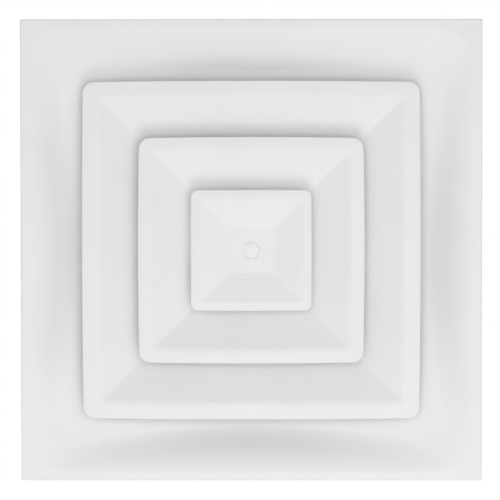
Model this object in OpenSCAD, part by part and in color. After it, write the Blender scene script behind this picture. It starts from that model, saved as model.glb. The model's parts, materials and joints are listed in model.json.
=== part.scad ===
// Square three-cone ceiling diffuser for a lay-in ceiling grid, with a round duct neck,
// a core that pulls out of the panel, and a butterfly damper that a screw opens and closes.
// The face plane is z = 0 and the neck points along +Z. The origin is the centre of the face.
// The damper is drawn open.

/* [Panel] */
// Outside width of the square panel
panel_w = 603; // [580:1:730]
// Sheet thickness of the panel
panel_t = 0.9; // [0.6:0.1:1.5]
// Width of the flat lip that lies on the ceiling grid
lip_w = 10; // [6:1:16]
// Height of the turned-up edge around the lip
flange_h = 14; // [8:1:24]
// Width of the flared wall between the lip and the dome, at the middle of a side
wall_w = 48.5; // [40:0.5:60]
// Angle at which the flared wall leaves the lip
wall_start_angle = 12; // [5:1:20]
// Corner radius of the flared wall where it leaves the lip
wall_corner_r = 30; // [15:1:50]
// Height of the crease between the wall and the dome, at the middle of a side
crease_z = 27; // [22:0.5:34]
// Height of the dome where the flared wall's corners leave the lip
crease_corner_z = 1.6; // [1:0.1:6]
// Rise of the dome for each millimetre towards the neck
dome_slope = 0.162; // [0.1:0.001:0.17]

/* [Neck] */
// Outside diameter of the duct neck
neck_d = 200; // [150:1:240]
// Height of the neck above the dome
neck_h = 38; // [34:1:60]
// Wall thickness of the neck
neck_t = 0.8; // [0.6:0.1:1.5]
// Width of the neck's flange on the dome
neck_flange_w = 16; // [12:1:20]

/* [Cones] */
// Width of the outer cone across its lips
outer_w = 440; // [380:1:460]
// Lip width of the outer cone
outer_lip = 20; // [12:1:26]
// Width of the middle cone across its lips
middle_w = 293.5; // [260:0.5:340]
// Lip width of the middle cone
middle_lip = 16; // [10:1:22]
// Width of the centre cone across its lips
centre_w = 157.6; // [140:0.2:180]
// Lip width of the centre cone
centre_lip = 11; // [7:1:15]
// Width of the flat in the middle of the centre cone
centre_flat_w = 59; // [50:1:70]
// Height of the centre cone's flat above the face
centre_h = 9.5; // [6:0.5:14]
// Height of the outer and middle cones' inner flanges above the face
cone_h = 26; // [22:0.5:30]
// Sheet thickness of the cones
cone_t = 0.8; // [0.6:0.1:1.2]
// How far the outer cone runs in behind the middle cone's edge
outer_tuck = 10.5; // [4:0.5:14]
// How far the middle cone runs in behind the centre cone's edge
middle_tuck = 13; // [4:0.5:18]
// Width of the inner flange that is riveted to the arms
cone_flange_w = 10; // [8:0.5:14]
// Rise of a lip from its ridge to its edge
lip_rise = 1.2; // [0.5:0.1:2.5]
// Height of the turned-up rim on a lip's edge
rim_h = 2.2; // [1.5:0.1:4]
// Outward bow at the middle of a cone's side
cone_bow = 1.6; // [0.1:0.1:3]

/* [Core frame] */
// Width of the arms
arm_w = 14; // [10:1:18]
// Thickness of the arms and of the hub plate
arm_t = 1.5; // [1:0.1:2]
// Width of the square hub plate
hub_w = 60; // [56:1:70]
// Diameter of the tool hole through the hub plate
hub_hole_d = 30; // [24:1:32]
// Radius of the posts that carry the centre cone
post_r = 2; // [1.5:0.1:3]
// Distance from the outer cone's inner flange out to the catch clips
catch_offset = 22; // [16:1:30]
// Length of the arm's turned-up leg
leg_h = 7.5; // [6:0.5:8.5]
// How far the leg reaches past the catch clip's throat
leg_past = 1.05; // [0.5:0.05:2]

/* [Plug] */
// Diameter of the access hole in the centre cone
access_d = 16; // [12:0.5:18]
// Diameter of the plug's head
plug_d = 20.2; // [20:0.1:24]
// Height of the plug's domed head
plug_head_h = 1.8; // [1.2:0.1:3]
// Length of the plug's stem above the sheet
plug_stem_h = 6; // [4:0.5:8]

/* [Catches and tabs] */
// Width of a catch clip
clip_w = 12; // [8:1:16]
// Sheet thickness of a catch clip
clip_t = 0.6; // [0.4:0.1:0.9]
// Half length of the catch clip's web on the dome
clip_half = 6; // [5:0.5:7]
// Distance between the hanger holes
hanger_spacing = 430; // [400:1:450]
// Radius of a hanger hole
hanger_hole_r = 3.5; // [2.5:0.1:4.5]
// Height of a hanger tab's ear above the dome
hanger_rise = 20; // [15:1:30]
// Width of a hanger tab
tab_w = 20; // [16:1:24]
// Thickness of a hanger tab
tab_t = 1.2; // [0.8:0.1:1.6]

/* [Damper] */
// Angle between an open blade and the closed position
open_angle = 78; // [60:1:80]
// Depth of the hinge rod below the neck's top edge
rod_drop = 9; // [8:0.5:10]
// Radius of the hinge rod
rod_r = 2.5; // [2:0.1:3]
// Thickness of the blades
blade_t = 1; // [0.8:0.1:1.2]
// Thickness of the brackets on the blades
bracket_t = 1.5; // [1:0.1:2]
// Lift of the yoke for each radian of blade angle
lift_r = 10; // [9:0.5:10.5]
// Depth of the cam below the rod when the damper is closed
cam_drop = 16; // [15.5:0.1:17]
// Height of the yoke's side flanges
yoke_h = 11; // [10:0.5:12]
// Radius of the operator screw
screw_r = 3; // [2.5:0.1:3.5]
// Width of the crossbar
bar_w = 16; // [15:1:20]

/* [Clearances] */
// Radial clearance of a shaft that turns or slides in a hole
running_gap = 0.05; // [0.02:0.01:0.1]
// Radial clearance of a fixed pin or rivet in its hole
fixed_gap = 0.02; // [0.01:0.01:0.05]
// Gap between curved or sloping sheets that are riveted together
seat_gap = 0.1; // [0.08:0.01:0.2]
// Gap between pieces that move past each other
moving_gap = 0.3; // [0.2:0.05:0.5]

/* [Hidden] */

$fn = 48;
paint = "whitesmoke";
zinc = "silver";

// Panel
panel_half = panel_w / 2;
panel_bend = 1;
wall_half = panel_half - lip_w;
crease_half = wall_half - wall_w;
corner_growth = 0.6;
wall_start = tan(wall_start_angle);
wall_curve = (crease_z - wall_start * wall_w) / (wall_w * wall_w);
dome_tilt = atan(dome_slope);
corner_slope = (crease_z - crease_corner_z) / (ray(wall_half, wall_corner_r, 45) - crease_half);
dome_break = 1;
wall_steps = 7;
spokes_per_octant = 12;
spoke_crowding = 2.2;

// Bends in sheet strips
bend_steps = 4;
bend_share = 0.45;

// Neck
neck_r = neck_d / 2;
neck_in = neck_r - neck_t;
pan_hole_r = neck_in + 0.2;
flange_out = neck_r + neck_flange_w;
neck_flange_t = neck_t / cos(dome_tilt);
collar_foot = dome_top(neck_r) + seat_gap + neck_flange_t + fixed_gap;
collar_rivet_r = neck_r + neck_flange_w / 2;

// Cones
outer_half = outer_w / 2;
middle_half = middle_w / 2;
centre_half = centre_w / 2;
outer_in = middle_half - outer_tuck;
middle_in = centre_half - middle_tuck;
cone_corner = 14;
centre_corner = 9;
corner_shrink = 0.45;
least_corner = 3;
corner_steps = 6;
side_steps = 6;
rim_bend = 0.9;
ridge_run = 2;
ridge_rise = 0.4;
ridge_clear = 0.1;
outer_rivet_at = outer_in - cone_flange_w / 2;
middle_rivet_at = middle_in - cone_flange_w / 2;

// Rivets: shank radius, head radius, height and taper
rivet_r = 2;
rivet_head_r = 3.4;
rivet_head_h = 1.2;
rivet_head_taper = 0.8;
tail_head_r = 2.9;
tail_head_h = 0.9;
tail_head_taper = 0.6;
// Room for a flat rivet head under the curved dome
head_gap = 0.06;

// Core frame
arm_z = cone_h + cone_t;
arm_top = arm_z + arm_t;
hub_z = arm_top;
hub_top = hub_z + arm_t;
hub_hole_r = hub_hole_d / 2;
arm_in = hub_hole_r + 3;
hub_rivet_at = (arm_in + hub_w / 2) / 2;
catch_r = outer_in + catch_offset;
leg_mid = catch_r - arm_t / 2;
post_inset = 9.5;
post_at = centre_flat_w / 2 - post_inset;
post_base_r = post_r + 1.5;
post_past = 1;
nut_h = 3.2;
nut_r = 4;
centre_flat_in = access_d / 2 + 6;

// Catch clips: the legs pinch in at the throat and flare out at the mouth
pinch = arm_t / 2 + moving_gap;
clip_web_z = dome_z(leg_mid) - seat_gap;
clip_side_h = 2;
clip_throat_z = clip_web_z - 6;
clip_mouth_z = clip_web_z - 9;
clip_mouth_half = 3.2;
leg_top = clip_throat_z + leg_past;
arm_end_z = leg_top - leg_h - arm_t;

// Hanger tabs, along the panel's diagonals
hanger_at = hanger_spacing / 2 * sqrt(2);
tab_foot_in = hanger_at - 42;
tab_foot_out = hanger_at - 20;
tab_rivet_at = (tab_foot_in + tab_foot_out) / 2;
ear_out = hanger_at + 11;
ear_z = dome_top(tab_foot_out) + hanger_rise;

// Plug
access_r = access_d / 2;
plug_wall = 1.2;
plug_slot_w = 2;
plug_edge_h = 0.6;
// Radius of the sphere that the plug's head is cut from
plug_rise = plug_head_h - plug_edge_h;
plug_sphere_r = (plug_d * plug_d / 4 + plug_rise * plug_rise) / (2 * plug_rise);

// Damper
ring_r = neck_r - neck_t - moving_gap;
ring_t = 0.8;
ring_in = ring_r - ring_t;
neck_top = dome_top(neck_r) + neck_h;
rod_z = neck_top - rod_drop;
ring_flange_r = neck_r - neck_t / 2;
ring_below_rod = 26;
ring_foot = rod_z - ring_below_rod;
blade_r = ring_in - 1.3;
eye_r = rod_r + 2.5;
blade_start = eye_r + 0.5;
cam_past = 4;
cam_steps = 16;
arm_reach = 30;
bracket_rivet_u = arm_reach - 8;
bracket_flange_l = 16;
bracket_tip_h = 3;
lug_flange_w = 11;
cam_join_u = 18;
cam_heel = [1, -eye_r - 3.2];
cam_back = [-3.4, -3.6];
web_t = 1.5;
yoke_half = 30;
guide_at = 24;
guide_r = 2;
open_lift = lift_r * open_angle * PI / 180;
yoke_top = rod_z - cam_drop + open_lift - moving_gap;
web_top = yoke_top - yoke_h;
yoke_nut_h = 4;
yoke_nut_r = 6;
bar_t = 1.5;
bush_flange_t = 1.2;
bush_r = 5;
bush_flange_r = 7;
ring_clip_t = 1.2;
closed_nut_z = web_top - open_lift - web_t - yoke_nut_h;
bar_top = closed_nut_z - ring_clip_t - bush_flange_t - 3 * moving_gap;
bar_z = bar_top - bar_t;
bar_flat_half = 0.6 * ring_in;
bar_tab_x = sqrt(ring_in * ring_in - bar_w * bar_w / 4) - seat_gap;
bar_tab_h = 12;
bar_tab_top = ring_foot + bar_tab_h + 1;
bar_rivet_z = ring_foot + bar_tab_h / 2 + 1;
bush_foot = bar_z - 2;
guide_head_h = 1;
screw_head_h = 7;
screw_head_r = 6;
screw_slot_w = 1.6;
screw_slot_h = 3;
screw_head_top = bush_foot - moving_gap;
screw_top = rod_z - rod_r - 4;
cam_a_x = [13, -20.5];
cam_a_side = [-1, -1];
lug_a_x = [70, -78];
lug_a_side = [-1, 1];

// ---------- Shared functions ----------

function unit(v) = v / norm(v);

function left_of(d) = [-d[1], d[0]];

function reversed(list) = [for (i = [len(list) - 1 : -1 : 0]) list[i]];

// The path moved sideways by off, with mitred bends
function shifted(path, off) = [
    for (i = [0 : len(path) - 1])
        let (last = len(path) - 1)
        let (into = i > 0 ? unit(path[i] - path[i - 1]) : unit(path[1] - path[0]))
        let (away = i < last ? unit(path[i + 1] - path[i]) : into)
        let (mitre = unit(left_of(into) + left_of(away)))
        path[i] + mitre * off / (mitre * left_of(into))
];

// Points of the bend that rounds a corner p between its neighbours, or p where the path is straight
function bend(before, p, after, r) =
    let (u = unit(before - p))
    let (v = unit(after - p))
    let (half = acos(u * v) / 2)
    let (run = min(r / tan(half), bend_share * norm(before - p), bend_share * norm(after - p)))
    let (centre = p + unit(u + v) * run / cos(half))
    let (start = p + u * run - centre)
    let (turn = sign(cross(v, u)) * (180 - 2 * half))
    half > 89.9 ? [p] : [
        for (i = [0 : bend_steps])
            let (a = turn * i / bend_steps)
            centre + [start[0] * cos(a) - start[1] * sin(a), start[0] * sin(a) + start[1] * cos(a)]
    ];

// The path with its inner corners rounded
function bent(path, r) = [
    for (i = [0 : len(path) - 1])
        each (i == 0 || i == len(path) - 1) ? [path[i]] : bend(path[i - 1], path[i], path[i + 1], r)
];

// The outline of a sheet that follows a path, with its thickness on the path's right
function sheet_outline(path, t) = concat(path, reversed(shifted(path, -t)));

// Distance from the centre to a rounded square, at an angle
function ray(half, corner, az) =
    let (turn = abs(az) % 90)
    let (a = min(turn, 90 - turn))
    let (c = half - corner)
    tan(a) * half <= c
        ? half / cos(a)
        : c * (cos(a) + sin(a)) + sqrt(corner * corner - c * c * (1 - sin(2 * a)));

// The dome falls by dome_slope to the crease's smallest radius, and from there to the corners
function slope_at(r) = r > crease_half ? corner_slope : dome_slope;

function dome_z(r) = crease_z + slope_at(r) * (crease_half - r);

function dome_top(r) = dome_z(r) + panel_t / cos(atan(slope_at(r)));

function wall_z(half) =
    let (run = wall_half - half)
    wall_start * run + wall_curve * run * run;

function wall_corner(half) = wall_corner_r + corner_growth * (wall_half - half);

// Half width of the wall's ring that meets the dome at an angle, found by halving
function crease_at(az, low, high, turns) =
    let (mid = (low + high) / 2)
    turns == 0
        ? mid
        : wall_z(mid) > dome_z(ray(mid, wall_corner(mid), az))
            ? crease_at(az, mid, high, turns - 1)
            : crease_at(az, low, mid, turns - 1);

// Angles of the panel's spokes, crowded towards the corners
function octant_angle(i) = 45 * (1 - pow(1 - i / spokes_per_octant, spoke_crowding));

function spoke_angles() = [
    for (side = [0 : 3])
        for (i = [-spokes_per_octant : spokes_per_octant - 1])
            side * 90 + sign(i) * octant_angle(abs(i))
];

// The face side of the panel along one spoke, from the top of its edge flange to the neck hole
function pan_path(az) =
    let (edge = ray(panel_half, panel_bend, az))
    let (crease = crease_at(az, crease_half, wall_half, 24))
    let (break_r = min(crease_half, ray(crease, wall_corner(crease), az) - dome_break))
    concat(
        [[edge, flange_h], [edge, panel_bend], [ray(panel_half - panel_bend, panel_bend, az), 0]],
        [
            for (i = [0 : wall_steps])
                let (half = wall_half + (crease - wall_half) * i / wall_steps)
                [ray(half, wall_corner(half), az), wall_z(half)]
        ],
        [[break_r, dome_z(break_r)], [pan_hole_r, dome_z(pan_hole_r)]]
    );

// A square ring of points with rounded corners and slightly bowed sides
function square_ring(half, corner, bow, z) =
    let (c = half - corner)
    let (quarter = concat(
        [
            for (j = [0 : corner_steps])
                let (a = 90 * j / corner_steps)
                [c + corner * cos(a), c + corner * sin(a)]
        ],
        [for (j = [1 : side_steps - 1]) [c - 2 * c * j / side_steps, half]]
    ))
    [
        for (k = [0 : 3])
            for (p = quarter)
                let (q = [p[0] * cos(90 * k) - p[1] * sin(90 * k), p[0] * sin(90 * k) + p[1] * cos(90 * k)])
                [
                    q[0] * (1 + bow / half * (1 - pow(q[1] / half, 2))),
                    q[1] * (1 + bow / half * (1 - pow(q[0] / half, 2))),
                    z
                ]
    ];

// The rings of a cone made of a sheet that follows a path from its edge inwards
function cone_rings(path, corner, bow) =
    [
        for (p = sheet_outline(path, cone_t))
            square_ring(p[0], max(least_corner, corner - corner_shrink * (path[0][0] - p[0])), bow, p[1])
    ];

// The face side of a cone's lip: rim, lip and ridge
function lip_path(half, lip) = [
    [half, lip_rise + rim_h],
    [half, lip_rise + rim_bend],
    [half - rim_bend, lip_rise],
    [half - lip + ridge_run, ridge_clear],
    [half - lip, 0],
    [half - lip - ridge_run, ridge_rise]
];

function flanged_cone_path(half, lip, inner, height) = concat(
    lip_path(half, lip),
    [[inner + 1, height - ridge_rise], [inner, height], [inner - cone_flange_w, height]]
);

// The cam's outline: the curve that lifts a flat follower evenly as the blade turns
function cam_point(a) =
    let (depth = cam_drop - lift_r * a * PI / 180)
    [lift_r * cos(a) - depth * sin(a), -lift_r * sin(a) - depth * cos(a)];

// ---------- Shared modules ----------

// A closed skin over rings of points: round like a tube, or capped at its first and last ring
module skin(rings, capped) {
    count = len(rings[0]);
    rows = capped ? len(rings) - 1 : len(rings);
    points = [for (ring = rings) for (p = ring) p];
    sides = [
        for (i = [0 : rows - 1])
            for (j = [0 : count - 1])
                let (a = i * count + j)
                let (b = i * count + (j + 1) % count)
                let (c = ((i + 1) % len(rings)) * count + (j + 1) % count)
                let (d = ((i + 1) % len(rings)) * count + j)
                each [[a, b, c], [a, c, d]]
    ];
    ends = capped
        ? [[for (j = [count - 1 : -1 : 0]) j], [for (j = [0 : count - 1]) (len(rings) - 1) * count + j]]
        : [];
    polyhedron(points = points, faces = concat(sides, ends), convexity = 6);
}

// Stands its children on the face side of the dome, square to the dome
module on_dome(r, az) {
    rotate([0, 0, az])
        translate([r, 0, dome_z(r)])
            rotate([0, atan(slope_at(r)), 0])
                children();
}

// A rivet along +Z through a stack of sheets: factory head below the stack, tail above
module rivet(grip) {
    translate([0, 0, -rivet_head_h])
        cylinder(h = rivet_head_h, r1 = rivet_head_r - rivet_head_taper, r2 = rivet_head_r);
    cylinder(h = grip, r = rivet_r);
    translate([0, 0, grip])
        cylinder(h = tail_head_h, r1 = tail_head_r, r2 = tail_head_r - tail_head_taper);
}

module rivet_hole(from, to) {
    translate([0, 0, from])
        cylinder(h = to - from, r = rivet_r + fixed_gap);
}

// A strip of sheet that follows a path of [radius, height], centred on the X axis
module strip(path, t, width) {
    rotate([90, 0, 0])
        translate([0, 0, -width / 2])
            linear_extrude(height = width)
                polygon(sheet_outline(bent(path, 2 * t), t));
}

module four() {
    for (k = [0 : 3])
        rotate([0, 0, 90 * k])
            children();
}

// ---------- Panel and neck ----------

module back_pan() {
    color(paint)
        difference() {
            skin([
                for (az = spoke_angles())
                    [for (p = sheet_outline(pan_path(az), panel_t)) [p[0] * cos(az), p[0] * sin(az), p[1]]]
            ], false);
            at_collar_rivets()
                rivet_hole(-2, 3);
            four()
                on_dome(leg_mid, 0)
                    rivet_hole(-2, 3);
            four()
                on_dome(tab_rivet_at, 45)
                    rivet_hole(-2, 3);
        }
}

module at_collar_rivets() {
    for (k = [0 : 7])
        on_dome(collar_rivet_r, 22.5 + 45 * k)
            children();
}

// A stamped ring that lies on the dome and carries the collar
module neck_flange() {
    color(zinc)
        difference() {
            rotate_extrude($fn = 96)
                polygon([
                    [neck_in, dome_top(neck_in) + seat_gap],
                    [flange_out, dome_top(flange_out) + seat_gap],
                    [flange_out, dome_top(flange_out) + seat_gap + neck_flange_t],
                    [neck_in, dome_top(neck_in) + seat_gap + neck_flange_t]
                ]);
            at_collar_rivets()
                rivet_hole(-1, 4);
        }
}

// A rolled tube that stands on the flange
module neck_collar() {
    color(zinc)
        rotate_extrude($fn = 96)
            polygon([
                [neck_in, collar_foot + dome_slope * neck_t],
                [neck_r, collar_foot],
                [neck_r, neck_top],
                [neck_in, neck_top]
            ]);
}

module collar_rivets() {
    color(zinc)
        at_collar_rivets()
            translate([0, 0, -head_gap])
                rivet(head_gap + panel_t + seat_gap + neck_t);
}

// ---------- Catch clips and hanger tabs ----------

module catch_clip() {
    web_fall = dome_slope * clip_half;
    path = [
        [leg_mid + clip_mouth_half, clip_mouth_z],
        [leg_mid + pinch + clip_t, clip_throat_z],
        [leg_mid + clip_half, clip_web_z - clip_side_h - web_fall],
        [leg_mid + clip_half, clip_web_z - web_fall],
        [leg_mid - clip_half, clip_web_z + web_fall],
        [leg_mid - clip_half, clip_web_z - clip_side_h + web_fall],
        [leg_mid - pinch - clip_t, clip_throat_z],
        [leg_mid - clip_mouth_half, clip_mouth_z]
    ];
    color(zinc)
        difference() {
            strip(reversed(path), clip_t, clip_w);
            on_dome(leg_mid, 0)
                rivet_hole(-3, 3);
        }
}

module clip_rivets() {
    color(zinc)
        four()
            on_dome(leg_mid, 0)
                translate([0, 0, -seat_gap - clip_t])
                    rivet(clip_t + seat_gap + panel_t);
}

module hanger_tab() {
    path = [
        [ear_out, ear_z],
        [tab_foot_out, ear_z],
        [tab_foot_out, dome_top(tab_foot_out) + seat_gap],
        [tab_foot_in, dome_top(tab_foot_in) + seat_gap]
    ];
    color(zinc)
        rotate([0, 0, 45])
            difference() {
                strip(path, tab_t, tab_w);
                translate([hanger_at, 0, ear_z - 5])
                    cylinder(h = 10, r = hanger_hole_r);
                on_dome(tab_rivet_at, 0)
                    rivet_hole(-1, 5);
            }
}

module tab_rivets() {
    color(zinc)
        four()
            on_dome(tab_rivet_at, 45)
                translate([0, 0, -head_gap])
                    rivet(head_gap + panel_t + seat_gap + tab_t);
}

// ---------- Damper frame ----------

module damper_ring() {
    color(zinc)
        difference() {
            rotate_extrude($fn = 96)
                polygon([
                    [ring_in, ring_foot],
                    [ring_r, ring_foot],
                    [ring_r, neck_top],
                    [ring_flange_r, neck_top],
                    [ring_flange_r, neck_top + ring_t],
                    [ring_in, neck_top + ring_t]
                ]);
            translate([-neck_r, 0, rod_z])
                rotate([0, 90, 0])
                    cylinder(h = neck_d, r = rod_r + fixed_gap);
            translate([-neck_r, 0, bar_rivet_z])
                rotate([0, 90, 0])
                    cylinder(h = neck_d, r = rivet_r + fixed_gap);
        }
}

module hinge_rod() {
    color(zinc)
        translate([-ring_r, 0, rod_z])
            rotate([0, 90, 0])
                cylinder(h = 2 * ring_r, r = rod_r);
}

module damper_crossbar() {
    path = [
        [-bar_tab_x, bar_tab_top],
        [-bar_tab_x, ring_foot],
        [-bar_flat_half, bar_z],
        [bar_flat_half, bar_z],
        [bar_tab_x, ring_foot],
        [bar_tab_x, bar_tab_top]
    ];
    color(zinc)
        difference() {
            strip(reversed(path), bar_t, bar_w);
            translate([0, 0, bar_z - 1])
                cylinder(h = bar_t + 2, r = bush_r + fixed_gap);
            for (x = [-guide_at, guide_at])
                translate([x, 0, bar_z - 1])
                    cylinder(h = bar_t + 2, r = guide_r + fixed_gap);
            translate([-neck_r, 0, bar_rivet_z])
                rotate([0, 90, 0])
                    cylinder(h = neck_d, r = rivet_r + fixed_gap);
        }
}

// The tails are flush with the ring, so that the ring slides into the neck
module crossbar_rivets() {
    head_x = bar_tab_x - bar_t;
    color(zinc)
        for (k = [0, 180])
            rotate([0, 0, k])
                translate([head_x - rivet_head_h, 0, bar_rivet_z])
                    rotate([0, 90, 0]) {
                        cylinder(h = rivet_head_h, r1 = rivet_head_r - rivet_head_taper, r2 = rivet_head_r);
                        cylinder(h = rivet_head_h + ring_r - head_x - 0.02, r = rivet_r);
                    }
}

module guide_posts() {
    color(zinc)
        for (x = [-guide_at, guide_at])
            translate([x, 0, bar_z - guide_head_h]) {
                cylinder(h = guide_head_h, r = guide_r + 1.2);
                cylinder(h = screw_top - bar_z + guide_head_h, r = guide_r);
            }
}

module operator_bush() {
    color("goldenrod")
        difference() {
            union() {
                translate([0, 0, bush_foot])
                    cylinder(h = bar_top - bush_foot, r = bush_r);
                translate([0, 0, bar_top])
                    cylinder(h = bush_flange_t, r = bush_flange_r);
            }
            translate([0, 0, bush_foot - 1])
                cylinder(h = bar_top - bush_foot + bush_flange_t + 2, r = screw_r + running_gap);
        }
}

// ---------- Blades ----------
// Each blade piece is drawn lying closed along +Y with the rod as its X axis

module opened(side) {
    rotate([0, 0, side == "a" ? 0 : 180])
        translate([0, 0, rod_z])
            rotate([open_angle, 0, 0])
                children();
}

function bracket_x() = concat(cam_a_x, lug_a_x);

function bracket_side() = concat(cam_a_side, lug_a_side);

module at_blade_rivets() {
    xs = bracket_x();
    sides = bracket_side();
    for (i = [0 : len(xs) - 1]) {
        flange_mid = sides[i] > 0 ? xs[i] + bracket_t + lug_flange_w / 2 - 1 : xs[i] - lug_flange_w / 2 + 1;
        translate([flange_mid, bracket_rivet_u, -blade_t - bracket_t])
            children();
    }
}

module blade() {
    difference() {
        translate([0, 0, -blade_t])
            linear_extrude(height = blade_t)
                intersection() {
                    circle(r = blade_r, $fn = 128);
                    translate([-blade_r, blade_start])
                        square([2 * blade_r, blade_r]);
                }
        at_blade_rivets()
            rivet_hole(-1, 6);
    }
}

// A bracket plate square to the rod, with an eye on the rod and a flange under the blade
module bracket(x, side, outline_cam) {
    flange_x = side > 0 ? x : x + bracket_t - lug_flange_w;
    difference() {
        union() {
            translate([x, 0, 0])
                rotate([90, 0, 90])
                    linear_extrude(height = bracket_t)
                        union() {
                            circle(r = eye_r);
                            polygon([
                                [0, -eye_r], [arm_reach, -blade_t - bracket_tip_h],
                                [arm_reach, -blade_t], [blade_start, -blade_t], [0, 0]
                            ]);
                            if (outline_cam)
                                polygon(concat(
                                    [for (i = [-2 : cam_steps]) cam_point(open_angle * i / cam_steps)],
                                    [cam_point(open_angle + cam_past), cam_heel, cam_back],
                                    [[0, 0], [blade_start, -blade_t], [cam_join_u, -blade_t]]
                                ));
                        }
            translate([flange_x, arm_reach - bracket_flange_l, -blade_t - bracket_t])
                cube([lug_flange_w, bracket_flange_l, bracket_t]);
        }
        translate([x - 1, 0, 0])
            rotate([0, 90, 0])
                cylinder(h = bracket_t + 2, r = rod_r + running_gap);
        at_blade_rivets()
            rivet_hole(-1, 6);
    }
}

module cam_brackets() {
    for (i = [0 : 1])
        bracket(cam_a_x[i], cam_a_side[i], true);
}

module pivot_lugs() {
    for (i = [0 : 1])
        bracket(lug_a_x[i], lug_a_side[i], false);
}

module blade_rivets() {
    at_blade_rivets()
        rivet(bracket_t + blade_t);
}

// ---------- Yoke and screw ----------

module lifter_yoke() {
    yoke_w = 2 * lift_r + web_t;
    color(zinc)
        translate([0, 0, web_top])
            difference() {
                union() {
                    translate([-yoke_half, -yoke_w / 2, -web_t])
                        cube([2 * yoke_half, yoke_w, web_t]);
                    for (y = [-lift_r, lift_r])
                        translate([-yoke_half, y - web_t / 2, -web_t])
                            cube([2 * yoke_half, web_t, yoke_h + web_t]);
                }
                for (x = [-guide_at, guide_at])
                    translate([x, 0, -web_t - 1])
                        cylinder(h = web_t + 2, r = guide_r + 2 * running_gap);
                translate([0, 0, -web_t - 1])
                    cylinder(h = web_t + 2, r = screw_r + 4 * running_gap);
            }
}

module yoke_nut() {
    color("goldenrod")
        translate([0, 0, web_top - web_t - yoke_nut_h])
            difference() {
                cylinder(h = yoke_nut_h, r = yoke_nut_r, $fn = 6);
                translate([0, 0, -1])
                    cylinder(h = yoke_nut_h + 2, r = screw_r + running_gap);
            }
}

module operator_screw() {
    head_z = screw_head_top - screw_head_h;
    color(zinc)
        difference() {
            union() {
                translate([0, 0, head_z])
                    cylinder(h = screw_head_h, r = screw_head_r);
                translate([0, 0, head_z])
                    cylinder(h = screw_top - head_z, r = screw_r);
            }
            translate([-screw_head_r - 1, -screw_slot_w / 2, head_z - 1])
                cube([2 * screw_head_r + 2, screw_slot_w, screw_slot_h + 1]);
        }
}

module retaining_ring() {
    color(zinc)
        translate([0, 0, bar_top + bush_flange_t + moving_gap])
            difference() {
                cylinder(h = ring_clip_t, r = screw_r + 2.5);
                translate([0, 0, -1])
                    cylinder(h = ring_clip_t + 2, r = screw_r + fixed_gap);
            }
}

// ---------- Core ----------

module flanged_cone(half, lip, inner, rivet_at) {
    color(paint)
        difference() {
            skin(cone_rings(flanged_cone_path(half, lip, inner, cone_h), cone_corner, cone_bow), false);
            four()
                translate([rivet_at, 0, 0])
                    rivet_hole(cone_h - 1, cone_h + 3);
        }
}

module outer_cone() {
    flanged_cone(outer_half, outer_lip, outer_in, outer_rivet_at);
}

module middle_cone() {
    flanged_cone(middle_half, middle_lip, middle_in, middle_rivet_at);
}

module centre_cone() {
    flat = centre_flat_w / 2;
    path = concat(lip_path(centre_half, centre_lip), [[flat, centre_h], [centre_flat_in, centre_h]]);
    rings = cone_rings(path, centre_corner, cone_bow / 4);
    face_count = len(path);
    inside_out = [for (i = [0 : len(rings) - 1]) rings[(i + face_count) % len(rings)]];
    color(paint)
        difference() {
            skin(inside_out, true);
            translate([0, 0, centre_h - 2])
                cylinder(h = cone_t + 4, r = access_r);
        }
}

module hub_plate() {
    color(zinc)
        translate([0, 0, hub_z])
            difference() {
                translate([-hub_w / 2, -hub_w / 2, 0])
                    cube([hub_w, hub_w, arm_t]);
                translate([0, 0, -1])
                    cylinder(h = arm_t + 2, r = hub_hole_r);
                four()
                    translate([hub_rivet_at, 0, 0])
                        rivet_hole(-1, arm_t + 1);
                four()
                    translate([post_at, post_at, -1])
                        cylinder(h = arm_t + 2, r = post_r + fixed_gap);
            }
}

// An arm along +X, turned up at its end into the leg that the catch clip grips.
// Past the outer cone it slopes to meet its leg, if the leg stands higher or lower than the arm.
module arm() {
    path = [[catch_r, leg_top], [catch_r, arm_end_z], [outer_in + 1, arm_z], [arm_in, arm_z]];
    color(zinc)
        difference() {
            strip(path, arm_t, arm_w);
            for (r = [hub_rivet_at, middle_rivet_at, outer_rivet_at])
                translate([r, 0, 0])
                    rivet_hole(arm_z - 1, arm_top + 1);
        }
}

module hub_rivets() {
    color(zinc)
        four()
            translate([hub_rivet_at, 0, arm_z])
                rivet(2 * arm_t);
}

module cone_rivets(rivet_at) {
    color(zinc)
        four()
            translate([rivet_at, 0, cone_h])
                rivet(cone_t + arm_t);
}

module centre_posts() {
    foot = centre_h + cone_t;
    color(zinc)
        four()
            translate([post_at, post_at, 0]) {
                translate([0, 0, foot])
                    cylinder(h = hub_z - foot, r = post_base_r);
                translate([0, 0, foot])
                    cylinder(h = hub_top + nut_h + post_past - foot, r = post_r);
            }
}

module post_nuts() {
    color(zinc)
        four()
            translate([post_at, post_at, hub_top])
                difference() {
                    cylinder(h = nut_h, r = nut_r, $fn = 6);
                    translate([0, 0, -1])
                        cylinder(h = nut_h + 2, r = post_r + fixed_gap);
                }
}

module access_plug() {
    stem_r = access_r - moving_gap;
    color("white")
        difference() {
            union() {
                rotate_extrude()
                    intersection() {
                        translate([0, centre_h + plug_sphere_r - plug_head_h])
                            circle(r = plug_sphere_r, $fn = 180);
                        translate([0, centre_h - plug_head_h - 1])
                            square([plug_d / 2, plug_head_h + 1]);
                    }
                translate([0, 0, centre_h])
                    cylinder(h = cone_t + plug_stem_h, r = stem_r);
            }
            translate([0, 0, centre_h])
                cylinder(h = cone_t + plug_stem_h + 1, r = stem_r - plug_wall);
            for (k = [0, 90])
                rotate([0, 0, k])
                    translate([-stem_r - 1, -plug_slot_w / 2, centre_h + cone_t])
                        cube([2 * stem_r + 2, plug_slot_w, plug_stem_h + 1]);
        }
}

// ---------- Assembly ----------

module turned(k) {
    rotate([0, 0, 90 * k])
        children();
}

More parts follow.
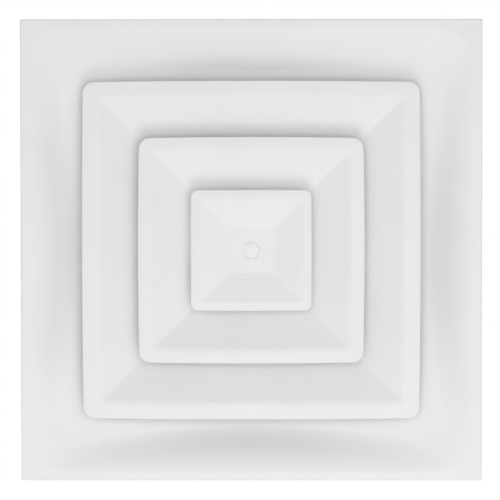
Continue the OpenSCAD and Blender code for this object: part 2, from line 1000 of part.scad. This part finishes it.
back_pan();
neck_flange();
neck_collar();
collar_rivets();
turned(0) catch_clip();  // catch_clip_1
turned(1) catch_clip();  // catch_clip_2
turned(2) catch_clip();  // catch_clip_3
turned(3) catch_clip();  // catch_clip_4
clip_rivets();
turned(0) hanger_tab();  // hanger_tab_1
turned(1) hanger_tab();  // hanger_tab_2
turned(2) hanger_tab();  // hanger_tab_3
turned(3) hanger_tab();  // hanger_tab_4
tab_rivets();
damper_ring();
hinge_rod();
damper_crossbar();
crossbar_rivets();
guide_posts();
operator_bush();
color(zinc) opened("a") blade();  // blade_a
color(zinc) opened("a") cam_brackets();  // cam_brackets_a
color(zinc) opened("a") pivot_lugs();  // pivot_lugs_a
color(zinc) opened("a") blade_rivets();  // blade_rivets_a
color(zinc) opened("b") blade();  // blade_b
color(zinc) opened("b") cam_brackets();  // cam_brackets_b
color(zinc) opened("b") pivot_lugs();  // pivot_lugs_b
color(zinc) opened("b") blade_rivets();  // blade_rivets_b
lifter_yoke();
yoke_nut();
operator_screw();
retaining_ring();
outer_cone();
middle_cone();
centre_cone();
hub_plate();
turned(0) arm();  // arm_1
turned(1) arm();  // arm_2
turned(2) arm();  // arm_3
turned(3) arm();  // arm_4
hub_rivets();
centre_posts();
post_nuts();
cone_rivets(middle_rivet_at);  // middle_rivets
cone_rivets(outer_rivet_at);  // outer_rivets
access_plug();
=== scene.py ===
"""The looks of the ceiling air diffuser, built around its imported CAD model.

Metres, in the CAD model's own frame: the face looks down (-Z) and the duct neck points up.
The camera stands below the face and looks up, as a person under the ceiling does.
"""

import json
import math

import bpy
import numpy as np
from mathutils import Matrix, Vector


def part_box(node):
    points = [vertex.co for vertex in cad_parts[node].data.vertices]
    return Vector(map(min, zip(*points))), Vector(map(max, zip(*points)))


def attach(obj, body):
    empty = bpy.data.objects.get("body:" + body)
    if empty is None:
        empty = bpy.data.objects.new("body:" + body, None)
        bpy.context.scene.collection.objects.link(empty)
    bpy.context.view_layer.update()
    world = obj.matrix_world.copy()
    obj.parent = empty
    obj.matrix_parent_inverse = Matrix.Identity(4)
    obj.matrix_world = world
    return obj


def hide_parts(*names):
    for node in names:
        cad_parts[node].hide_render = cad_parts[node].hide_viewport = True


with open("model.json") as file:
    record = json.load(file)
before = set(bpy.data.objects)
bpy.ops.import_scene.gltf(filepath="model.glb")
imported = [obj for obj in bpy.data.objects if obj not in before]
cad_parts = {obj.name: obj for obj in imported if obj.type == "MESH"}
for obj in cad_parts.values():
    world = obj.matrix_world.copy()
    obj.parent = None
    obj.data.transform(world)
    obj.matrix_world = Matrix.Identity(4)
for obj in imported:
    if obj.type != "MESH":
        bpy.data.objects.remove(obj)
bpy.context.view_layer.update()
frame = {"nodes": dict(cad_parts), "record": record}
MM = 0.001

# ---------- Sizes of the panel ----------

PANEL_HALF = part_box("back_pan")[1].x
SHEET_T = 0.9 * MM
# Height of the turned-up edge, the radius of its corners and of the bend at its foot
EDGE_H = 14 * MM
EDGE_CORNER = 1.2 * MM
EDGE_BEND = 1.5 * MM
LIP_W = 10 * MM
# The flared wall: its width, its slope at the lip and its corner radius there
WALL_W = 48.5 * MM
WALL_START = math.tan(math.radians(12))
WALL_CORNER = 30 * MM
WALL_SOFT = 0.5 * MM
CORNER_GROWTH = 0.6
# The crease between the wall and the dome, and how far they blend there
CREASE_Z = 27 * MM
CREASE_BLEND = 9.0 * MM
DOME_SLOPE = 0.162
WALL_HALF = PANEL_HALF - LIP_W
CREASE_HALF = WALL_HALF - WALL_W
WALL_CURVE = (CREASE_Z - WALL_START * WALL_W) / WALL_W ** 2
# Half width where the dome's rings begin to turn from squares into circles
ROUND_HALF = CREASE_HALF - 26 * MM

# The neck's outside lies 1.1 mm past the hinge rod's ends, and the dome's hole inside that
NECK_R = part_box("hinge_rod")[1].x + 1.1 * MM
NECK_HOLE_R = NECK_R - 0.6 * MM

# Rings of the panel's skin: heights on its edge as shares of the edge, steps round the bend,
# bands of half widths (start, end and count, finest at the crease) and circles up the dome
EDGE_SHARES = (1.0, 0.6, 0.3)
BEND_STEPS = 5
PANEL_BANDS = (
    (PANEL_HALF - 2.5 * MM, WALL_HALF + 2 * MM, 5),
    (WALL_HALF + MM, CREASE_HALF + 34 * MM, 12),
    (CREASE_HALF + 33 * MM, CREASE_HALF - 12 * MM, 46),
    (CREASE_HALF - 15 * MM, ROUND_HALF, 4),
)
DOME_RINGS = 15

# ---------- Sizes of the cones ----------

CONE_T = 0.8 * MM
CONE_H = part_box("outer_cone")[1].z - CONE_T
CONE_BOW = 1.6 * MM
CENTRE_BOW = CONE_BOW / 4
LIP_RISE = 1.2 * MM
RIM_H = 2.2 * MM
FLANGE_W = 10 * MM
OUTER_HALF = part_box("outer_cone")[1].x - CONE_BOW
MIDDLE_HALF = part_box("middle_cone")[1].x - CONE_BOW
CENTRE_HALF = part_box("centre_cone")[1].x - CENTRE_BOW
OUTER_LIP = 20 * MM
MIDDLE_LIP = 16 * MM
CENTRE_LIP = 11 * MM
# Half widths where the slopes end, each hidden behind the next cone
OUTER_IN = MIDDLE_HALF - 10.5 * MM
MIDDLE_IN = CENTRE_HALF - 13 * MM
# The centre cone's flat middle and its access hole
FLAT_HALF = 29.5 * MM
FLAT_Z = 9.5 * MM
FLAT_ROUND_HALF = FLAT_HALF * 0.8
ACCESS_R = 8 * MM

# Radii of the bends from the rim inwards, and of the corners seen from below
CONE_BENDS = (1.6 * MM, 22 * MM, 3 * MM)
CENTRE_BENDS = (1.4 * MM, 8 * MM, 4 * MM)
CONE_CORNER = 14 * MM
CENTRE_CORNER = 9 * MM
LEAST_CORNER = 2.5 * MM
CORNER_TAPER = 0.45
# The longest step between two rings of a cone
RING_STEP = 6 * MM

# ---------- Floor, light and camera values ----------

FLOOR_Z = -2.7
FLOOR_HALF = 9.0
FLOOR_TONE = 0.9
FLOOR_ROUGHNESS = 0.8

# Place, diameter and power of each lamp. The two above light the back of the panel.
LAMP_AIM = (0, 0, 0)
LAMPS = {
    "key": ((0.15, 1.45, -1.22), 1.3, 8.5),
    "front": ((0, 0, -2.6), 2.6, 24),
    "right": ((1.22, 0, -1.46), 1.3, 2.6),
    "left": ((-1.34, 0, -1.34), 1.3, 1.3),
    "above_key": ((1.3, -1.2, 2.3), 1.6, 46),
    "above_fill": ((-1.7, 0.9, 1.6), 1.8, 20),
}
# Strength of the white surroundings: as light on the object, and as the camera sees them
WORLD_LIGHT = 0.33
WORLD_SEEN = 1.0

CAMERA_PLACE = (0.0126, -0.0577, -2.4)
CAMERA_TURN_DEG = (180 - 1.365, -0.337, 0.033)
CAMERA_ANGLE_DEG = 15.5
CAMERA_SENSOR_MM = 36
CAMERA_REACH = 50

# ---------- Mesh helpers ----------

# A corner flatter than this stays as it is, and a fillet uses no more of a side than this
STRAIGHT_DEG = 178
SIDE_SHARE = 0.48


def new_object(name, verts, faces):
    """A mesh object with smooth faces, linked to the scene."""
    mesh = bpy.data.meshes.new(name)
    mesh.from_pydata([tuple(v) for v in verts], [], [tuple(f) for f in faces])
    mesh.update()
    mesh.polygons.foreach_set("use_smooth", [True] * len(mesh.polygons))
    obj = bpy.data.objects.new(name, mesh)
    bpy.context.scene.collection.objects.link(obj)
    return obj


def ring_skin(name, rings):
    """An open skin over closed rings of points, all with the same count."""
    rows, count = len(rings), len(rings[0])
    verts = np.concatenate(rings)
    faces = []
    for i in range(rows - 1):
        here, there = i * count, (i + 1) * count
        for j in range(count):
            k = (j + 1) % count
            faces.append((here + j, there + j, there + k, here + k))
    return new_object(name, verts, faces)


def thicken(obj, thickness):
    """Gives an open sheet its thickness, on the side its normals look away from."""
    solid = obj.modifiers.new("sheet", "SOLIDIFY")
    solid.thickness = thickness
    solid.offset = -1
    solid.use_even_offset = True
    solid.use_rim = True


def fillet(before, corner, after, radius, steps=7):
    """Points of the arc that rounds a corner between two others."""
    u, v = before - corner, after - corner
    lu, lv = np.linalg.norm(u), np.linalg.norm(v)
    u, v = u / lu, v / lv
    angle = math.acos(max(-1.0, min(1.0, float(u @ v))))
    if angle > math.radians(STRAIGHT_DEG):
        return [corner]
    run = min(radius / math.tan(angle / 2), SIDE_SHARE * lu, SIDE_SHARE * lv)
    radius = run * math.tan(angle / 2)
    middle = corner + (u + v) / np.linalg.norm(u + v) * radius / math.sin(angle / 2)
    start, end = corner + u * run - middle, corner + v * run - middle
    turn = math.atan2(start[0] * end[1] - start[1] * end[0], float(start @ end))
    points = []
    for i in range(steps + 1):
        a = turn * i / steps
        c, s = math.cos(a), math.sin(a)
        points.append(middle + np.array([start[0] * c - start[1] * s, start[0] * s + start[1] * c]))
    return points


def rounded(path, radii):
    """The path with its inner corners rounded, one radius for each."""
    path = [np.array(p, float) for p in path]
    out = [path[0]]
    for i, radius in enumerate(radii, start=1):
        out += fillet(path[i - 1], path[i], path[i + 1], radius)
    return out + [path[-1]]


def spread(path, longest):
    """The path with extra points, so that no step is longer than the limit."""
    out = [path[0]]
    for a, b in zip(path, path[1:]):
        count = max(1, int(math.ceil(np.linalg.norm(b - a) / longest)))
        out += [a + (b - a) * i / count for i in range(1, count + 1)]
    return out


def spoke_angles(per_octant=34, crowding=2.0):
    """Angles round the object, crowded towards the corners."""
    steps = range(per_octant + 1)
    octant = [math.pi / 4 * (1 - (1 - i / per_octant) ** crowding) for i in steps]
    one_side = [-a for a in reversed(octant[1:])] + octant[:-1]
    return np.array([side * math.pi / 2 + a for side in range(4) for a in one_side])


def folded(angles):
    """The angles measured from the middle of the nearest side, 0 to 45 degrees."""
    turn = np.mod(np.abs(angles), math.pi / 2)
    return np.minimum(turn, math.pi / 2 - turn)


def ray(half, corner, angles):
    """Distance from the centre to a rounded square, along each angle."""
    a = folded(angles)
    c = half - corner
    on_side = half / np.cos(a)
    q = np.cos(a) + np.sin(a)
    in_corner = c * q + np.sqrt(np.maximum(corner ** 2 - c ** 2 * (1 - np.sin(2 * a)), 0))
    return np.where(np.tan(a) * half <= c, on_side, in_corner)


def ring(radius, z, angles):
    """A ring of points from its radii and heights along each angle."""
    z = np.broadcast_to(z, angles.shape)
    return np.stack([radius * np.cos(angles), radius * np.sin(angles), z], axis=1)


def smooth_least(a, b, width):
    """The lesser of two heights, blended where they are closer than the width."""
    near = np.maximum(width - np.abs(a - b), 0) / width
    return np.minimum(a, b) - near ** 2 * width / 4


# ---------- Panel ----------


def dome_z(radius):
    """Height of the shallow dome, which falls evenly from the neck outwards."""
    return CREASE_Z + DOME_SLOPE * (CREASE_HALF - radius)


def wall_z(half):
    """Height of the flared wall, softened where it leaves the flat lip."""
    run = WALL_HALF - half
    rise = WALL_START * run + WALL_CURVE * run ** 2
    near = max(WALL_SOFT - abs(rise), 0) / WALL_SOFT
    return max(rise, 0) + near ** 2 * WALL_SOFT / 4


def wall_corner(half):
    """Corner radius: sharp at the panel's edge, round in the flared wall."""
    if half >= WALL_HALF:
        return EDGE_CORNER + (PANEL_HALF - half) / LIP_W * (WALL_CORNER - EDGE_CORNER)
    return WALL_CORNER + CORNER_GROWTH * (WALL_HALF - half)


def make_panel():
    """The stamped panel: edge flange, lip, flared wall, crease and shallow dome."""
    angles = spoke_angles()
    edge = ray(PANEL_HALF, EDGE_CORNER, angles)
    rings = [ring(edge, EDGE_H * share, angles) for share in EDGE_SHARES]
    rings.append(ring(edge, EDGE_BEND, angles))
    for i in range(1, BEND_STEPS + 1):
        a = math.pi / 2 * i / BEND_STEPS
        half = PANEL_HALF - EDGE_BEND * (1 - math.cos(a))
        rings.append(ring(ray(half, wall_corner(half), angles), EDGE_BEND * (1 - math.sin(a)), angles))
    for half in np.concatenate([np.linspace(*band) for band in PANEL_BANDS]):
        radius = ray(half, wall_corner(half), angles)
        height = smooth_least(np.full_like(radius, wall_z(half)), dome_z(radius), CREASE_BLEND)
        rings.append(ring(radius, np.maximum(height, 0), angles))
    last = ray(ROUND_HALF, wall_corner(ROUND_HALF), angles)
    for t in np.linspace(0, 1, DOME_RINGS + 1)[1:]:
        radius = last + (NECK_HOLE_R - last) * t
        rings.append(ring(radius, dome_z(radius), angles))
    panel = ring_skin("panel_skin", rings)
    thicken(panel, SHEET_T)
    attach(panel, "panel")
    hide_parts("back_pan")
    return panel


# ---------- Cones ----------


def cone_skin(name, path, radii, edge_corner, bow, hole_from=None):
    """A square cone of sheet that follows a path from its edge inwards.
    From the half width hole_from inwards its rings turn into circles."""
    angles = spoke_angles()
    edge = path[0][0]
    rings = []
    for half, z in spread(rounded(path, radii), RING_STEP):
        corner = max(LEAST_CORNER, edge_corner - CORNER_TAPER * (edge - half))
        radius = ray(half, corner, angles)
        radius = radius * (1 + bow / half * (1 - np.tan(folded(angles)) ** 2))
        if hole_from and half < hole_from:
            t = min(1.0, (hole_from - half) / (hole_from - ACCESS_R))
            radius = radius * (1 - t) + half * t
        rings.append(ring(radius, z, angles))
    return ring_skin(name, rings)


def lip_path(half, lip):
    """The outermost points of a cone: the rim's top and foot, and the ridge inside the lip."""
    return [(half, LIP_RISE + RIM_H), (half, LIP_RISE), (half - lip, 0)]


def make_flanged_cone(node, half, lip, inner):
    """The outer or the middle cone, which ends inwards in a flat flange."""
    path = lip_path(half, lip) + [(inner, CONE_H), (inner - FLANGE_W, CONE_H)]
    cone = cone_skin(node + "_skin", path, CONE_BENDS, CONE_CORNER, CONE_BOW)
    thicken(cone, CONE_T)
    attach(cone, "core")
    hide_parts(node)
    return cone


def make_centre_cone():
    """The centre cone, with its flat middle and the round access hole."""
    path = lip_path(CENTRE_HALF, CENTRE_LIP) + [(FLAT_HALF, FLAT_Z), (ACCESS_R, FLAT_Z)]
    cone = cone_skin("centre_cone_skin", path, CENTRE_BENDS, CENTRE_CORNER, CENTRE_BOW,
                     hole_from=FLAT_ROUND_HALF)
    thicken(cone, CONE_T)
    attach(cone, "core")
    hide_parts("centre_cone")
    return cone


# ---------- Materials ----------


def node_material(name):
    """A node material with its tree and its main shader."""
    material = bpy.data.materials.new(name)
    material.use_nodes = True
    tree = material.node_tree
    return material, tree, tree.nodes["Principled BSDF"]


def add(tree, kind, **settings):
    """A new node. A setting that names an input is that input's value."""
    node = tree.nodes.new(kind)
    for key, value in settings.items():
        if key in node.inputs:
            node.inputs[key].default_value = value
        else:
            setattr(node, key, value)
    return node


def noise(tree, scale, detail=2.0, roughness=0.5):
    """Noise over the object's own coordinates. The scale is in cells for each metre."""
    place = add(tree, "ShaderNodeTexCoord")
    node = add(tree, "ShaderNodeTexNoise", Scale=scale, Detail=detail, Roughness=roughness)
    tree.links.new(place.outputs["Object"], node.inputs["Vector"])
    return node


def grey(tone):
    """A colour whose three channels are the same."""
    return (tone, tone, tone)


def shade(tree, shader, socket, source, stops):
    """Drives a socket of the shader through a ramp of (position, colour) stops."""
    node = add(tree, "ShaderNodeValToRGB")
    elements = node.color_ramp.elements
    while len(elements) < len(stops):
        elements.new(0.5)
    for element, (position, colour) in zip(elements, stops):
        element.position = position
        element.color = (*colour, 1)
    tree.links.new(source, node.inputs["Fac"])
    tree.links.new(node.outputs["Color"], shader.inputs[socket])


def bump(tree, shader, source, strength, distance, below=None):
    """Bumps the shader's surface with a height, on top of another bump if one is given."""
    node = add(tree, "ShaderNodeBump", Strength=strength, Distance=distance)
    tree.links.new(source, node.inputs["Height"])
    if below:
        tree.links.new(below.outputs["Normal"], node.inputs["Normal"])
    tree.links.new(node.outputs["Normal"], shader.inputs["Normal"])
    return node


def white_paint():
    """White powder coat: faint orange peel, slight waviness of the sheet, uneven gloss."""
    material, tree, shader = node_material("white_powder_coat")
    tone = noise(tree, scale=9, detail=3)
    shade(tree, shader, "Base Color", tone.outputs["Fac"],
          [(0.3, (0.862, 0.860, 0.850)), (0.7, (0.885, 0.884, 0.877))])
    gloss = noise(tree, scale=60, detail=4)
    shade(tree, shader, "Roughness", gloss.outputs["Fac"], [(0.3, grey(0.42)), (0.7, grey(0.52))])
    shader.inputs["Specular IOR Level"].default_value = 0.35
    sheet = noise(tree, scale=14, detail=1)
    waves = bump(tree, shader, sheet.outputs["Fac"], strength=0.25, distance=0.4 * MM)
    peel = noise(tree, scale=900, detail=2)
    bump(tree, shader, peel.outputs["Fac"], strength=0.12, distance=0.05 * MM, below=waves)
    return material


def white_plastic():
    """Moulded white plastic, a little glossier than the paint."""
    material, tree, shader = node_material("moulded_plastic")
    tone = noise(tree, scale=40, detail=3)
    shade(tree, shader, "Base Color", tone.outputs["Fac"],
          [(0.3, (0.865, 0.862, 0.85)), (0.7, (0.882, 0.88, 0.87))])
    shader.inputs["Roughness"].default_value = 0.36
    grain = noise(tree, scale=1500, detail=2)
    bump(tree, shader, grain.outputs["Fac"], strength=0.1, distance=0.04 * MM)
    return material


def galvanised():
    """Galvanised sheet: flat crystals of zinc, each a little lighter or duller than the next."""
    material, tree, shader = node_material("galvanised_sheet")
    place = add(tree, "ShaderNodeTexCoord")
    wander = noise(tree, scale=160, detail=3)
    shift = add(tree, "ShaderNodeMixRGB", blend_type="ADD")
    shift.inputs["Fac"].default_value = 0.006
    tree.links.new(place.outputs["Object"], shift.inputs["Color1"])
    tree.links.new(wander.outputs["Color"], shift.inputs["Color2"])
    crystals = add(tree, "ShaderNodeTexVoronoi", Scale=130.0)
    tree.links.new(shift.outputs["Color"], crystals.inputs["Vector"])
    parts = add(tree, "ShaderNodeSeparateColor")
    tree.links.new(crystals.outputs["Color"], parts.inputs["Color"])
    shade(tree, shader, "Base Color", parts.outputs["Red"],
          [(0.0, (0.47, 0.49, 0.51)), (0.5, (0.56, 0.575, 0.59)), (1.0, (0.66, 0.67, 0.68))])
    shade(tree, shader, "Roughness", parts.outputs["Green"], [(0.0, grey(0.34)), (1.0, grey(0.52))])
    shader.inputs["Metallic"].default_value = 0.92
    grain = noise(tree, scale=500, detail=3)
    bump(tree, shader, grain.outputs["Fac"], strength=0.12, distance=0.06 * MM)
    return material


def worn_metal(name, dark, light, rough_low, rough_high, scale):
    """A metal whose colour and gloss drift, with fine handling marks."""
    material, tree, shader = node_material(name)
    tone = noise(tree, scale, detail=5, roughness=0.6)
    shade(tree, shader, "Base Color", tone.outputs["Fac"], [(0.35, dark), (0.65, light)])
    marks = noise(tree, scale * 7, detail=4, roughness=0.7)
    shade(tree, shader, "Roughness", marks.outputs["Fac"],
          [(0.3, grey(rough_low)), (0.7, grey(rough_high))])
    shader.inputs["Metallic"].default_value = 1.0
    bump(tree, shader, marks.outputs["Fac"], strength=0.15, distance=0.03 * MM)
    return material


# Each slot's material. The metals have a dark and a light tone, the least and the most
# roughness, and the size of their pattern.
MATERIALS = {
    "white_paint": white_paint(),
    "white_plastic": white_plastic(),
    "zinc_steel": galvanised(),
    "spring_steel": worn_metal(
        "spring_steel", (0.20, 0.205, 0.22), (0.32, 0.32, 0.33), 0.30, 0.45, 150),
    "rivets": worn_metal(
        "rivet_aluminium", (0.66, 0.67, 0.68), (0.78, 0.785, 0.79), 0.28, 0.45, 220),
    "bright_steel": worn_metal(
        "plated_steel", (0.60, 0.60, 0.585), (0.74, 0.74, 0.72), 0.22, 0.38, 180),
    "brass": worn_metal(
        "turned_brass", (0.56, 0.42, 0.19), (0.74, 0.58, 0.29), 0.22, 0.40, 160),
}


def finish_cad_nodes():
    """Gives every CAD node its material, rounded edges and clean shading."""
    slots = {s["node"]: s["material_slot"] for s in frame["record"]["subparts"]}
    for name, obj in frame["nodes"].items():
        obj.data.materials.clear()
        obj.data.materials.append(MATERIALS[slots[name]])
        obj.data.polygons.foreach_set("use_smooth", [True] * len(obj.data.polygons))
        weld = obj.modifiers.new("weld", "WELD")
        weld.merge_threshold = 0.005 * MM
        bevel = obj.modifiers.new("edges", "BEVEL")
        bevel.width = 0.15 * MM
        bevel.segments = 2
        bevel.limit_method = "ANGLE"
        bevel.angle_limit = math.radians(32)
        bevel.harden_normals = True


# ---------- Floor, light and camera ----------


def make_floor():
    """A plain pale floor below the camera."""
    half = FLOOR_HALF
    corners = [(x, y, FLOOR_Z) for x, y in ((-half, -half), (half, -half), (half, half), (-half, half))]
    floor = new_object("floor", corners, [(0, 1, 2, 3)])
    material, _, shader = node_material("pale_floor")
    shader.inputs["Base Color"].default_value = (*grey(FLOOR_TONE), 1)
    shader.inputs["Roughness"].default_value = FLOOR_ROUGHNESS
    floor.data.materials.append(material)


def round_lamp(name, place, size, power):
    """A soft round lamp that looks at the object's face."""
    light = bpy.data.lights.new(name, "AREA")
    light.shape = "DISK"
    light.size = size
    light.energy = power
    obj = bpy.data.objects.new(name, light)
    obj.location = place
    obj.rotation_euler = (Vector(LAMP_AIM) - Vector(place)).to_track_quat("-Z", "Y").to_euler()
    bpy.context.scene.collection.objects.link(obj)


def make_lights():
    """Daylight from the picture's lower edge, a broad soft front light and weak side fills."""
    for name, (place, size, power) in LAMPS.items():
        round_lamp(name, place, size, power)
    world = bpy.data.worlds.new("studio")
    bpy.context.scene.world = world
    world.use_nodes = True
    tree = world.node_tree
    background = tree.nodes["Background"]
    background.inputs["Color"].default_value = (1, 1, 1, 1)
    seen = add(tree, "ShaderNodeLightPath")
    strength = add(tree, "ShaderNodeMapRange")
    strength.inputs["To Min"].default_value = WORLD_LIGHT
    strength.inputs["To Max"].default_value = WORLD_SEEN
    tree.links.new(seen.outputs["Is Camera Ray"], strength.inputs["Value"])
    tree.links.new(strength.outputs["Result"], background.inputs["Strength"])


def make_camera():
    """Nearly square on to the face from below, with +Y towards the bottom of the picture."""
    data = bpy.data.cameras.new("camera")
    data.sensor_width = CAMERA_SENSOR_MM
    data.angle = math.radians(CAMERA_ANGLE_DEG)
    data.clip_end = CAMERA_REACH
    obj = bpy.data.objects.new("camera", data)
    obj.location = CAMERA_PLACE
    obj.rotation_euler = [math.radians(turn) for turn in CAMERA_TURN_DEG]
    bpy.context.scene.collection.objects.link(obj)
    bpy.context.scene.camera = obj


make_camera()
finish_cad_nodes()
painted = [
    make_panel(),
    make_flanged_cone("outer_cone", OUTER_HALF, OUTER_LIP, OUTER_IN),
    make_flanged_cone("middle_cone", MIDDLE_HALF, MIDDLE_LIP, MIDDLE_IN),
    make_centre_cone(),
]
for skin in painted:
    skin.data.materials.append(MATERIALS["white_paint"])
make_floor()
make_lights()
bpy.context.scene.view_settings.view_transform = "Standard"
